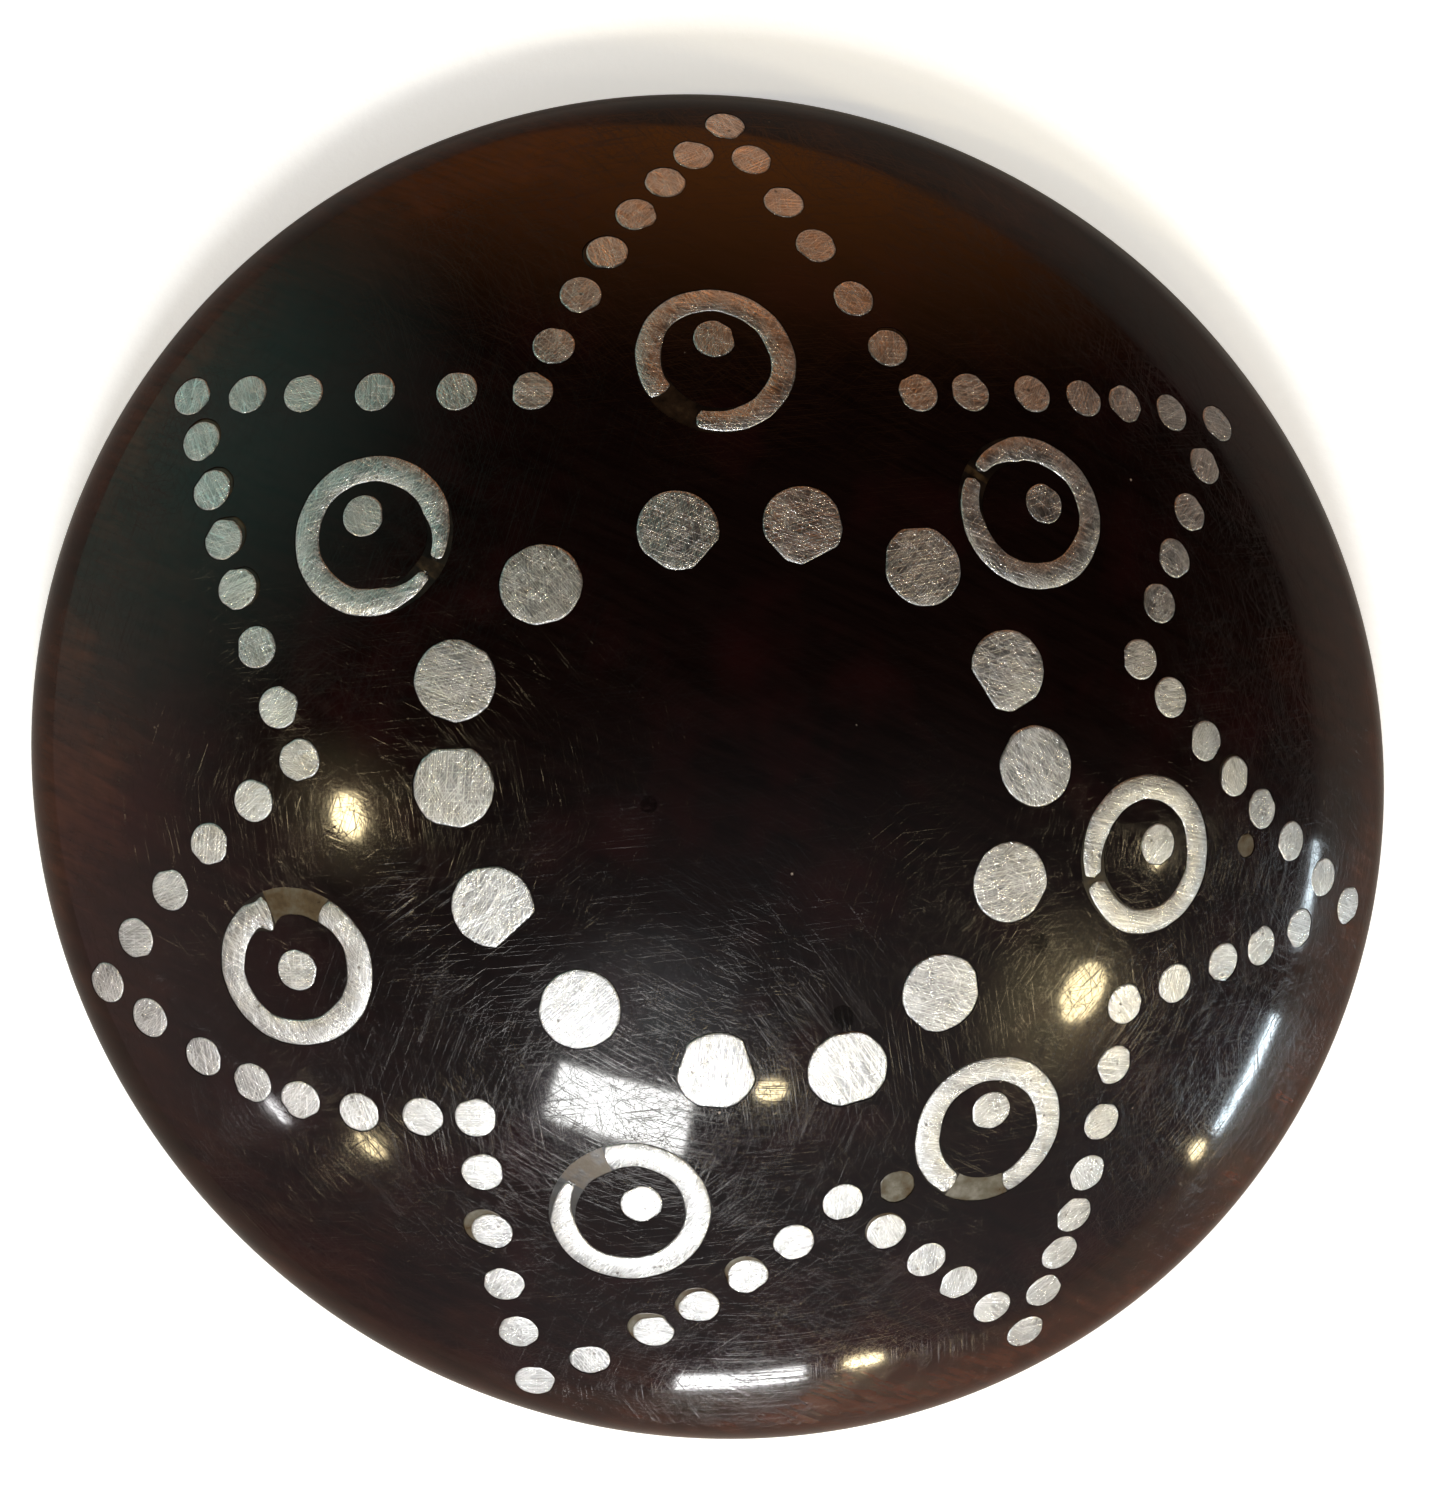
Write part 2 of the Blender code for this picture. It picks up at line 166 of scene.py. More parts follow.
# Drilled holes filled with resin alone: reach, bearing, diameter, how pale.
FILLED_HOLES = ((0.604, 287.5, 2.9 * MM, 0.75), (0.715, 351.5, 2.0 * MM, 0.65),
                (0.434, 327.5, 1.6 * MM, 0.5), (0.34, 284.5, 2.0 * MM, 0.6),
                (0.19, 191, 1.3 * MM, 0.55))


# ---- the bowl's surfaces -------------------------------------------------------------------

class Section:
    """A dome arc that turns down, through a shoulder arc, to upright at its widest."""

    def __init__(self, widest, dome, shoulder):
        self.widest = widest
        self.dome = dome
        self.shoulder = shoulder
        self.angle = math.asin((widest - shoulder) / (dome - shoulder))
        self.reach = dome * math.sin(self.angle)
        self.rise = dome - (dome - shoulder) * math.cos(self.angle)

    def drop(self, radius):
        """How far below the top the surface is, for an array of radii."""
        cap = self.dome - np.sqrt(np.maximum(self.dome ** 2 - radius ** 2, 0))
        across = np.clip(radius - (self.widest - self.shoulder), 0, self.shoulder)
        turn = self.rise - np.sqrt(np.maximum(self.shoulder ** 2 - across ** 2, 0))
        return np.where(radius < self.reach, cap, turn)

    def points(self, top, dome_steps, shoulder_steps):
        """(radius, height) from the axis out to the widest place."""
        found = []
        for i in range(dome_steps):
            angle = self.angle * i / dome_steps
            found.append((self.dome * math.sin(angle), top - self.dome * (1 - math.cos(angle))))
        for i in range(shoulder_steps + 1):
            angle = self.angle + (math.pi / 2 - self.angle) * i / shoulder_steps
            radius = self.widest - self.shoulder + self.shoulder * math.sin(angle)
            found.append((radius, top - self.rise + self.shoulder * math.cos(angle)))
        return found


OUTSIDE = Section(BOWL_RADIUS, DOME_RADIUS, SHOULDER_RADIUS)
INSIDE = Section(BOWL_RADIUS - WALL, DOME_RADIUS - WALL, SHOULDER_RADIUS - WALL)


def made_oval(x, y):
    """Where a place of the round bowl lies on the oval one. Here x runs along the long axis."""
    c, s = math.cos(OVAL_BEARING), math.sin(OVAL_BEARING)
    x, y = x * (1 + OVAL), y * (1 - OVAL)
    return c * x - s * y, s * x + c * y


def round_radius(x, y):
    """Radius at a place before the bowl went oval."""
    c, s = math.cos(OVAL_BEARING), math.sin(OVAL_BEARING)
    return np.hypot((c * x + s * y) / (1 + OVAL), (c * y - s * x) / (1 - OVAL))


def hand_waves(x, y):
    """Slow rises and hollows that hand work leaves, in metres."""
    wave = 0.040 * np.sin(x / (7.3 * MM) + 1.1) * np.cos(y / (8.1 * MM) - 0.4)
    wave = wave + 0.045 * np.sin((x + 1.7 * y) / (13.0 * MM) + 0.6)
    wave = wave + 0.035 * np.cos((1.4 * x - y) / (10.5 * MM) + 2.0)
    return wave * MM


def wave_share(radius):
    return np.clip((BOWL_RADIUS - radius) / WAVE_FADE, 0, 1)


def outside_height(x, y):
    radius = round_radius(x, y)
    return HEIGHT - OUTSIDE.drop(radius) + hand_waves(x, y) * wave_share(radius)


def outside_normal(x, y):
    step = 0.02 * MM
    across = (outside_height(x + step, y) - outside_height(x - step, y)) / (2 * step)
    along = (outside_height(x, y + step) - outside_height(x, y - step)) / (2 * step)
    normal = np.stack([-across, -along, np.ones_like(across)], -1)
    return normal / np.linalg.norm(normal, axis=-1, keepdims=True)


class Spot:
    """A place on the outside, with axes: out along the normal, and east as near +X as it can."""

    def __init__(self, place):
        x, y = place
        self.at = Vector((x, y, float(outside_height(np.float64(x), np.float64(y)))))
        self.out = Vector(outside_normal(np.array(x, float), np.array(y, float)))
        self.east = (Vector((1, 0, 0)) - self.out * self.out.x).normalized()
        self.north = self.out.cross(self.east)

    def on_surface(self, across, up, lift):
        """Points at tangent coordinates, moved along the normal onto the wood, and lifted."""
        flat = (np.array(self.at) + across[..., None] * np.array(self.east)
                + up[..., None] * np.array(self.north))
        out = np.array(self.out)
        for _ in range(3):
            short = outside_height(flat[..., 0], flat[..., 1]) - flat[..., 2]
            flat = flat + short[..., None] * out[2] * out
        return flat + np.asarray(lift)[..., None] * out


def polar(reach, bearing):
    """Plan coordinates of a reach, as a share of the bowl's radius, at a bearing in degrees."""
    angle = math.radians(bearing)
    return (reach * BOWL_RADIUS * math.cos(angle), reach * BOWL_RADIUS * math.sin(angle))


def ring_place(clearance, bearing):
    """The least reach at this bearing that keeps a ring clear of every big disc."""
    apart = RING_DIAMETER / 2 + LARGE_DIAMETER / 2 + clearance
    way = Vector(polar(1, bearing)).normalized()
    reach = 0.0
    for spot in DISC_PLACES:
        disc = Vector(polar(*spot))
        along = disc.dot(way)
        aside = (disc - way * along).length
        if aside < apart:
            reach = max(reach, along + math.sqrt(apart ** 2 - aside ** 2))
    return tuple(way * reach)


def side_places(side):
    """The places of the dots along one bowed side of the star."""
    start_kind, start, end_kind, end, bow, stations = side
    corners = {"tip": STAR_TIPS, "notch": STAR_NOTCHES}
    first = Vector(polar(*corners[start_kind][start]))
    last = Vector(polar(*corners[end_kind][end]))
    along = last - first
    outwards = Vector((along.y, -along.x)).normalized()
    places = []
    for station in stations:
        bulge = bow * BOWL_RADIUS * math.sin(math.pi * station)
        places.append(tuple(first + along * station + outwards * bulge))
    return places


# ---- mesh helpers --------------------------------------------------------------------------

def lofted_faces(rows, columns, closed=True):
    """Quads between rows of points; each row closes on itself unless told otherwise."""
    faces = []
    last = columns if closed else columns - 1
    for i in range(rows - 1):
        for j in range(last):
            k = (j + 1) % columns
            faces.append((i * columns + j, (i + 1) * columns + j, (i + 1) * columns + k,
                          i * columns + k))
    return faces


def mesh_object(name, points, faces, material=None, sharp=None):
    mesh = bpy.data.meshes.new(name)
    mesh.from_pydata([tuple(p) for p in points], [], faces)
    shape = bmesh.new()
    shape.from_mesh(mesh)
    bmesh.ops.recalc_face_normals(shape, faces=shape.faces)
    shape.to_mesh(mesh)
    shape.free()
    mesh.shade_smooth()
    if sharp:
        mesh.set_sharp_from_angle(angle=math.radians(sharp))
    obj = bpy.data.objects.new(name, mesh)
    bpy.context.scene.collection.objects.link(obj)
    if material:
        mesh.materials.append(material)
    return obj


# ---- outlines of the metal pieces ----------------------------------------------------------

def hand_outline(radius, flats, draw, roughness, count):
    """Radius at each of count bearings: nearly round, with file flats and small knocks."""
    angles = np.arange(count) * 2 * math.pi / count
    edge = np.full(count, 1.0)
    for lobes in (2, 3, 5, 8, 13, 20):
        size = roughness * draw.uniform(0.4, 1.0) / math.sqrt(lobes)
        edge += size * np.cos(lobes * angles + draw.uniform(0, 2 * math.pi))
    for bearing, depth in flats:
        away = np.angle(np.exp(1j * (angles - math.radians(bearing))))
        reach = np.where(np.abs(away) < 1.3, (1 - depth) / np.cos(np.clip(away, -1.3, 1.3)), 9)
        edge = np.minimum(edge, reach)
    return radius * edge


def disc_rows(spot, outline, lift, depth, tilt):
    """Rows of points of a disc: its crowned top from the middle out, its bevel and its wall."""
    angles = np.arange(len(outline)) * 2 * math.pi / len(outline)
    rows = []
    for share, sink in ((0.12, 0), (0.45, 0), (0.75, 0), (0.92, 0), (1, 0)):
        radius = np.maximum(outline * share - (METAL_BEVEL if share == 1 else 0), 0)
        across, up = radius * np.cos(angles), radius * np.sin(angles)
        tip = tilt[0] * across + tilt[1] * up
        rows.append(spot.on_surface(across, up, lift + tip - sink))
    across, up = outline * np.cos(angles), outline * np.sin(angles)
    tip = tilt[0] * across + tilt[1] * up
    rows.append(spot.on_surface(across * 0.995, up * 0.995, lift + tip - METAL_BEVEL * 0.45))
    rows.append(spot.on_surface(across, up, lift + tip - METAL_BEVEL))
    rows.append(spot.on_surface(across, up, lift - depth + 0 * across))
    return rows


def add_to(store, rows, faces, value):
    """Appends rows of points and their faces, and gives each face the same value."""
    base = len(store["points"])
    store["points"].extend(np.concatenate(rows))
    store["faces"].extend([tuple(base + i for i in face) for face in faces])
    store["values"].extend([value] * len(faces))


def add_disc(store, spot, outline, lift, depth, value=0.0, tilt=(0, 0)):
    rows = disc_rows(spot, outline, lift, depth, tilt)
    count = len(outline)
    faces = lofted_faces(len(rows), count)
    faces.append(tuple(reversed(range(count))))
    faces.append(tuple((len(rows) - 1) * count + i for i in range(count)))
    add_to(store, rows, faces, value)


def band_rows(spot, inner, outer, angles, lift, depth):
    """Rows along a band's section, from its inner foot over the top to its outer foot."""
    middle = (inner + outer) / 2
    near, low = METAL_BEVEL * 0.3, METAL_BEVEL * 0.4
    section = ((inner, -depth), (inner, -METAL_BEVEL), (inner + near, -low),
               (inner + METAL_BEVEL, 0), (middle, 0), (outer - METAL_BEVEL, 0),
               (outer - near, -low), (outer, -METAL_BEVEL), (outer, -depth))
    rows = []
    for radius, sink in section:
        rows.append(spot.on_surface(radius * np.cos(angles), radius * np.sin(angles),
                                    lift + sink + 0 * angles))
    return rows


def add_band(store, spot, inner, outer, angles, lift, depth, value):
    """A band open at its two ends, which get flat caps."""
    rows = band_rows(spot, inner, outer, angles, lift, depth)
    count = len(angles)
    faces = lofted_faces(len(rows), count, closed=False)
    last = (len(rows) - 1) * count
    for j in range(count - 1):
        faces.append((j, j + 1, last + j + 1, last + j))
    faces.append(tuple(i * count for i in range(len(rows))))
    faces.append(tuple(i * count + count - 1 for i in reversed(range(len(rows)))))
    add_to(store, rows, faces, value)


def new_store():
    return {"points": [], "faces": [], "values": []}


# ---- node helpers --------------------------------------------------------------------------

class Nodes:
    """A node tree, with short calls for the nodes used here."""

    def __init__(self, tree, place):
        self.tree = tree
        self.place = self.add("ShaderNodeTexCoord").outputs[place]

    def add(self, kind, **settings):
        node = self.tree.nodes.new(kind)
        for key, value in settings.items():
            setattr(node, key, value)
        return node

    def link(self, source, target):
        self.tree.links.new(source, target)

    def feed(self, value, socket):
        if hasattr(value, "links"):
            self.link(value, socket)
        else:
            socket.default_value = value

    def math(self, operation, first, second=0.0, clamp=False):
        node = self.add("ShaderNodeMath", operation=operation, use_clamp=clamp)
        self.feed(first, node.inputs[0])
        self.feed(second, node.inputs[1])
        return node.outputs[0]

    def total(self, values):
        result = values[0]
        for value in values[1:]:
            result = self.math("ADD", result, value)
        return result

    def vector(self, operation, first, second, output="Vector"):
        node = self.add("ShaderNodeVectorMath", operation=operation)
        self.feed(first, node.inputs[0])
        self.feed(second, node.inputs[1])
        return node.outputs[output]

    def combine(self, x, y, z=0.0):
        node = self.add("ShaderNodeCombineXYZ")
        for value, socket in zip((x, y, z), node.inputs):
            self.feed(value, socket)
        return node.outputs[0]

    def split(self, vector):
        node = self.add("ShaderNodeSeparateXYZ")
        self.link(vector, node.inputs[0])
        return node.outputs

    def turned(self, vector, angle):
        node = self.add("ShaderNodeVectorRotate", rotation_type="Z_AXIS")
        self.feed(vector, node.inputs["Vector"])
        self.feed(angle, node.inputs["Angle"])
        return node.outputs[0]

    def noise(self, vector, scale=1.0, detail=2.0, roughness=0.5):
        node = self.add("ShaderNodeTexNoise")
        self.feed(vector, node.inputs["Vector"])
        node.inputs["Scale"].default_value = scale
        node.inputs["Detail"].default_value = detail
        node.inputs["Roughness"].default_value = roughness
        return node.outputs["Fac"]

    def cells(self, scale):
        node = self.add("ShaderNodeTexVoronoi")
        self.link(self.place, node.inputs["Vector"])
        node.inputs["Scale"].default_value = scale
        return node.outputs["Distance"]

    def range(self, value, low, high, to_low=0.0, to_high=1.0):
        node = self.add("ShaderNodeMapRange")
        self.feed(value, node.inputs["Value"])
        for name, number in (("From Min", low), ("From Max", high), ("To Min", to_low),
                             ("To Max", to_high)):
            node.inputs[name].default_value = number
        return node.outputs["Result"]

    def ramp(self, value, stops):
        node = self.add("ShaderNodeValToRGB")
        self.feed(value, node.inputs["Fac"])
        while len(node.color_ramp.elements) < len(stops):
            node.color_ramp.elements.new(0.5)
        for element, (position, colour) in zip(node.color_ramp.elements, stops):
            element.position = position
            element.color = (*colour, 1.0)
        return node.outputs["Color"]

    def mix(self, share, first, second):
        node = self.add("ShaderNodeMix", data_type="RGBA")
        self.feed(share, node.inputs[0])
        self.feed(first if hasattr(first, "links") else (*first, 1.0), node.inputs[6])
        self.feed(second if hasattr(second, "links") else (*second, 1.0), node.inputs[7])
        return node.outputs[2]

    def streaks(self, vector, angle, width, length, low, high):
        """Thin scratches that run one way: 0 on most of the surface, 1 in a scratch."""
        bend = self.math("MULTIPLY", self.noise(vector, 60.0, 1.0), 3.0)
        x, y, _ = self.split(self.turned(vector, math.radians(angle)))
        across = self.math("ADD", self.math("MULTIPLY", x, 1 / width), bend)
        along = self.math("MULTIPLY", y, 1 / length)
        return self.range(self.noise(self.combine(across, along, angle), 1.0, 1.0), low, high)


class Finish(Nodes):
    """The nodes of a new material."""

    def __init__(self, name):
        self.material = bpy.data.materials.new(name)
        self.material.use_nodes = True
        super().__init__(self.material.node_tree, "Object")
        self.shader = self.tree.nodes["Principled BSDF"]

    def set(self, name, value):
        self.feed(value, self.shader.inputs[name])

    def attribute(self, name):
        return self.add("ShaderNodeAttribute", attribute_name=name).outputs["Fac"]

    def bump(self, height, distance):
        node = self.add("ShaderNodeBump")
        node.inputs["Distance"].default_value = distance
        self.link(height, node.inputs["Height"])
        self.set("Normal", node.outputs[0])


# ---- materials -----------------------------------------------------------------------------

# Scratch sets: angle in degrees, width and length in millimetres, and the noise levels between
# which a scratch shows.
WOOD_SCRATCHES = ((18, 0.060, 9.0, 0.64, 0.69), (52, 0.060, 6.5, 0.65, 0.70),
                  (84, 0.055, 8.0, 0.65, 0.70), (117, 0.060, 6.0, 0.655, 0.705),
                  (-38, 0.060, 10.0, 0.64, 0.69), (-12, 0.065, 9.0, 0.635, 0.69))
METAL_SCRATCHES = ((0, 0.080, 4.0, 0.47, 0.61), (34, 0.070, 2.6, 0.53, 0.65),
                   (-31, 0.075, 3.0, 0.53, 0.65), (88, 0.065, 1.8, 0.57, 0.67))
DISC_METAL = (0.40, 0.412, 0.445)
RING_METAL = (0.46, 0.47, 0.492)
DOT_METAL = (0.50, 0.51, 0.532)


def wood_finish():
    """Near-black polished hardwood, red-brown towards the rim, with fine sanding scratches."""
    n = Finish("Polished blackwood")
    x, y, _ = n.split(n.place)
    reach = n.vector("LENGTH", n.combine(x, y), (0, 0, 0), "Value")
    mottle = n.noise(n.place, 55.0, 4.0, 0.6)
    edge = n.math("ADD", n.math("DIVIDE", reach, BOWL_RADIUS), n.range(mottle, 0.3, 0.7, -0.1, 0.1))
    body = n.ramp(edge, ((0.0, (0.0060, 0.0026, 0.0024)), (0.62, (0.0068, 0.0026, 0.0022)),
                         (0.84, (0.0105, 0.0036, 0.0030)), (0.95, (0.026, 0.0080, 0.0048)),
                         (1.0, (0.052, 0.0165, 0.0085))))
    stretched = n.vector("MULTIPLY", n.turned(n.place, math.radians(24)), (160, 1400, 300))
    grain = n.noise(stretched, 1.0, 5.0, 0.62)
    lit = n.vector("MULTIPLY", body, n.combine(*[n.range(grain, 0.35, 0.62, 0.6, 1.2)] * 3))
    blotch = n.range(n.noise(n.place, 120.0, 3.0, 0.55), 0.52, 0.72, 0.0, 0.6)
    colour = n.mix(blotch, lit, (0.019, 0.0036, 0.0040))
    speck = n.math("MULTIPLY", n.range(n.cells(430.0), 0.055, 0.035),
                   n.range(n.noise(n.place, 260.0, 1.0), 0.63, 0.68))
    n.set("Base Color", n.mix(speck, colour, (0.34, 0.29, 0.26)))

    angle = n.math("ARCTAN2", y, x)
    turning = n.combine(n.math("DIVIDE", reach, 0.075 * MM), n.math("MULTIPLY", angle, 3.6))
    sanding = n.math("MULTIPLY", n.range(n.noise(turning, 1.0, 2.0), 0.60, 0.69), 0.9)
    crossing = [n.streaks(n.place, turn, width * MM, length * MM, low, high)
                for turn, width, length, low, high in WOOD_SCRATCHES]
    worn = n.range(n.noise(n.place, 60.0, 2.0), 0.35, 0.65, 0.55, 1.0)
    scratches = n.math("MULTIPLY", n.total([sanding] + crossing), worn)
    smear = n.range(n.noise(n.place, 45.0, 3.0), 0.35, 0.7, 0.05, 0.09)
    rough = n.math("ADD", smear, n.math("MULTIPLY", scratches, 0.03))
    n.set("Roughness", n.math("ADD", rough, n.math("MULTIPLY", speck, 0.4)))
    n.set("IOR", 1.43)
    pores = n.range(grain, 0.60, 0.70, 0.0, 0.4)
    height = n.math("SUBTRACT", n.math("MULTIPLY", speck, 2.0), n.math("ADD", scratches, pores))
    n.bump(height, 0.0030 * MM)
    return n.material


def metal_finish(name, colour):
    """White metal filed flush: dense short scratches, mostly one way on each piece, and stains."""
    n = Finish(name)
    place = n.turned(n.place, n.attribute("turn"))
    stain = n.noise(place, 420.0, 4.0, 0.6)
    base = n.mix(n.range(stain, 0.35, 0.66), tuple(c * 0.58 for c in colour), colour)
    scratches = n.total([n.streaks(place, turn, width * MM, length * MM, low, high)
                         for turn, width, length, low, high in METAL_SCRATCHES])
    pits = n.math("MULTIPLY", n.range(n.cells(1100.0), 0.20, 0.10),
                  n.range(n.noise(place, 600.0, 1.0), 0.55, 0.62))
    cut = n.mix(n.math("MULTIPLY", scratches, 0.62, clamp=True), base, (0.86, 0.875, 0.90))
    n.set("Base Color", n.mix(n.math("MULTIPLY", pits, 0.7), cut, (0.14, 0.13, 0.12)))
    n.set("Metallic", 1.0)
    rough = n.range(stain, 0.3, 0.7, 0.37, 0.47)
    n.set("Roughness", n.math("SUBTRACT", rough, n.math("MULTIPLY", scratches, 0.08)))
    lump = n.math("MULTIPLY", n.noise(place, 1100.0, 2.0), 1.6)
    height = n.math("SUBTRACT", lump, n.math("ADD", scratches, n.math("MULTIPLY", pits, 2.0)))
    n.bump(height, 0.010 * MM)
    return n.material


def resin_finish():
    """Glue that fills the sockets: dark brown to smoky grey, by the tone each filling has."""
    n = Finish("Resin filler")
    cloud = n.noise(n.place, 700.0, 4.0, 0.6)
    level = n.math("ADD", n.attribute("tone"), n.range(cloud, 0.3, 0.7, -0.25, 0.22), clamp=True)
    n.set("Base Color", n.ramp(level, ((0.0, (0.004, 0.0025, 0.002)), (0.3, (0.020, 0.011, 0.005)),
                                       (0.55, (0.075, 0.048, 0.020)), (0.8, (0.12, 0.11, 0.085)),
                                       (1.0, (0.20, 0.19, 0.17)))))
    n.set("Roughness", n.range(cloud, 0.3, 0.7, 0.25, 0.5))
    n.bump(n.noise(n.place, 1500.0, 3.0), 0.02 * MM)
    return n.material


def floor_finish():
    """Pale to the eye. What shines off the bowl's edge sees it much darker."""
    n = Finish("Pale floor")
    seen = n.add("ShaderNodeLightPath").outputs["Is Camera Ray"]
    cloud = n.noise(n.place, 9.0, 3.0)
    pale = n.mix(cloud, (0.84, 0.84, 0.84), (0.88, 0.88, 0.88))
    n.set("Base Color", n.mix(seen, (0.38, 0.36, 0.34), pale))
    n.set("Emission Color", (0.95, 0.95, 0.95, 1.0))
    n.set("Emission Strength", n.math("ADD", n.math("MULTIPLY", seen, 0.47), 0.08))
    n.set("Roughness", 0.75)
    n.bump(n.noise(n.place, 900.0, 3.0), 0.05 * MM)
    return n.material


# ---- the inlay -----------------------------------------------------------------------------

# Lengths along a ring, as shares of its band: where it thins, hooks and rounds off.
THINNING = 0.12
HOOK_AT = 0.028
HOOK_SPREAD = 0.026
END_ROUND = 0.014
# The groove's hollow for the hook: degrees past the opening, and how far it spreads.
HOLLOW_AT = 9
HOLLOW_SPREAD = 12


def apart(bearing, other):
    """Degrees between two bearings."""
    return np.abs((bearing - other + 180) % 360 - 180)


def uneven_band(angles, slow):
    """Width of a ring's band, which is a little uneven all round."""
    return RING_BAND * (1 + 0.045 * np.sin(2 * angles + slow) + 0.015 * np.sin(7 * angles))


class Inlay:
    """Collects the metal pieces, the resin and the sockets as they are laid out."""

    def __init__(self):
        self.draw = random.Random(SEED)
        self.pieces = {}
        self.sockets = new_store()
        self.resin = new_store()

    def socket(self, spot, outline, tone):
        """A hole in the wood and the resin that nearly fills it."""
        add_disc(self.sockets, spot, outline, CUT_ABOVE, SOCKET_DEPTH + CUT_ABOVE)
        add_disc(self.resin, spot, outline * 0.998, -RESIN_SINK, SOCKET_DEPTH - RESIN_LIFT, tone)

    def round_piece(self, name, place, diameter, flats, count, loose=None):
        """A disc in its socket, which is wider on one side where the disc sits loose."""
        draw = self.draw
        spot = Spot(place)
        outline = hand_outline(diameter / 2, flats, draw, 0.015, count)
        hole = outline + SEAM
        tone = DARK
        if loose:
            bearing, width, tone = loose
            angles = np.arange(count) * 2 * math.pi / count
            toward = np.cos(angles - math.radians(bearing))
            hole = hole + diameter / 2 * width * np.clip(toward, 0, 1) ** 1.5
        self.socket(spot, hole, tone)
        tilt = (draw.uniform(-0.022, 0.022), draw.uniform(-0.022, 0.022))
        store = self.pieces.setdefault(name, new_store())
        turn = draw.uniform(0, math.pi)
        add_disc(store, spot, outline, PROUD, PIECE_DEPTH, turn, tilt)

    def small_flats(self):
        draw = self.draw
        return [(draw.uniform(0, 360), draw.uniform(0.03, 0.10)) for _ in range(draw.randint(1, 3))]

    def dot(self, name, place, loose=None):
        self.round_piece(name, place, SMALL_DIAMETER, self.small_flats(), DOT_SIDES, loose)

    def ring(self, index, place):
        """A split ring in its groove, with resin where it is open."""
        draw = self.draw
        spot = Spot(place)
        bearing, width, thin, hook, tone = RING_OPENINGS[index]
        first = bearing + width / 2
        angles = np.radians(np.linspace(first, bearing + 360 - width / 2, RING_STEPS))
        share = np.linspace(0, 1, RING_STEPS)
        edge = RING_DIAMETER / 2 * hand_outline(1.0, (), draw, 0.008, 360)
        outer = np.interp(np.degrees(angles) % 360, np.arange(360), edge)
        ends = thin[0] * np.clip(1 - share / THINNING, 0, 1) ** 0.7
        ends += thin[1] * np.clip(1 - (1 - share) / THINNING, 0, 1) ** 0.7
        slow = draw.uniform(0, 2 * math.pi)
        band = uneven_band(angles, slow)
        bulge = hook * np.exp(-((share - HOOK_AT) / HOOK_SPREAD) ** 2)
        inner = outer - band * (1 - 0.55 * ends) - bulge
        outer = outer - band * 0.45 * ends - bulge * 0.4
        rounding = np.clip(np.minimum(share, 1 - share) / END_ROUND, 0, 1)
        pinch = RING_BAND * 0.30 * (1 - np.sqrt(1 - (1 - rounding) ** 2))
        store = self.pieces.setdefault(f"ring_{index + 1}", new_store())
        add_band(store, spot, inner + pinch, outer - pinch, angles, PROUD, PIECE_DEPTH,
                 draw.uniform(0, math.pi))
        whole = np.arange(0, 360, GROOVE_DEGREES)
        rim = np.interp(whole, np.arange(360), edge)
        hooked = np.exp(-(apart(whole, first + HOLLOW_AT) / HOLLOW_SPREAD) ** 2)
        foot = rim - uneven_band(np.radians(whole), slow) - SEAM - hook * hooked
        open_here = apart(whole + GROOVE_DEGREES / 2, bearing) < width / 2
        tones = np.where(open_here, tone, DARK)
        self.groove(spot, rim + SEAM, foot, np.radians(whole), tones)

    def groove(self, spot, outer, inner, angles, tones):
        """A ring-shaped hole and its resin. Both are closed bands."""
        count = len(angles)
        faces = lofted_faces(4, count)
        faces += [(3 * count + j, j, (j + 1) % count, 3 * count + (j + 1) % count)
                  for j in range(count)]
        for store, top, foot in ((self.sockets, CUT_ABOVE, -SOCKET_DEPTH),
                                 (self.resin, -RESIN_SINK, RESIN_LIFT - SOCKET_DEPTH)):
            slack = 0.0 if store is self.sockets else 0.004 * MM
            rows = [spot.on_surface(radius * np.cos(angles), radius * np.sin(angles),
                                    lift + 0 * angles)
                    for radius, lift in ((inner + slack, foot), (inner + slack, top),
                                         (outer - slack, top), (outer - slack, foot))]
            add_to(store, rows, faces, DARK)
            store["values"][-4 * count:] = list(tones) * 4


def lay_out(inlay):
    for i, spot in enumerate(DISC_PLACES):
        inlay.round_piece(f"large_disc_{i + 1:02d}", polar(*spot), LARGE_DIAMETER,
                          DISC_FLATS[i], DISC_SIDES)
    for i, spot in enumerate(RING_PLACES):
        place = ring_place(*spot)
        inlay.ring(i, place)
        shifted = [place[k] + RING_DOT_SHIFTS[i][k] * SMALL_DIAMETER for k in (0, 1)]
        inlay.dot(f"ring_dot_{i + 1}", shifted)
    for kind, spots in (("tip", STAR_TIPS), ("notch", STAR_NOTCHES)):
        for i, spot in enumerate(spots):
            inlay.dot(f"{kind}_dot_{i + 1}", polar(*spot))
    for i, side in enumerate(STAR_SIDES):
        places = side_places(side)
        middle = len(places) // 2
        for k, place in enumerate(places):
            name = f"side_dot_{i + 1:02d}" if k == middle else f"side_row_{i + 1:02d}"
            inlay.dot(name, place, LOOSE_DOTS.get((i, k)))
    for reach, bearing, diameter, tone in FILLED_HOLES:
        outline = hand_outline(diameter / 2, inlay.small_flats(), inlay.draw, 0.03, HOLE_SIDES)
        inlay.socket(Spot(polar(reach, bearing)), outline, tone)


# ---- the bowl ------------------------------------------------------------------------------

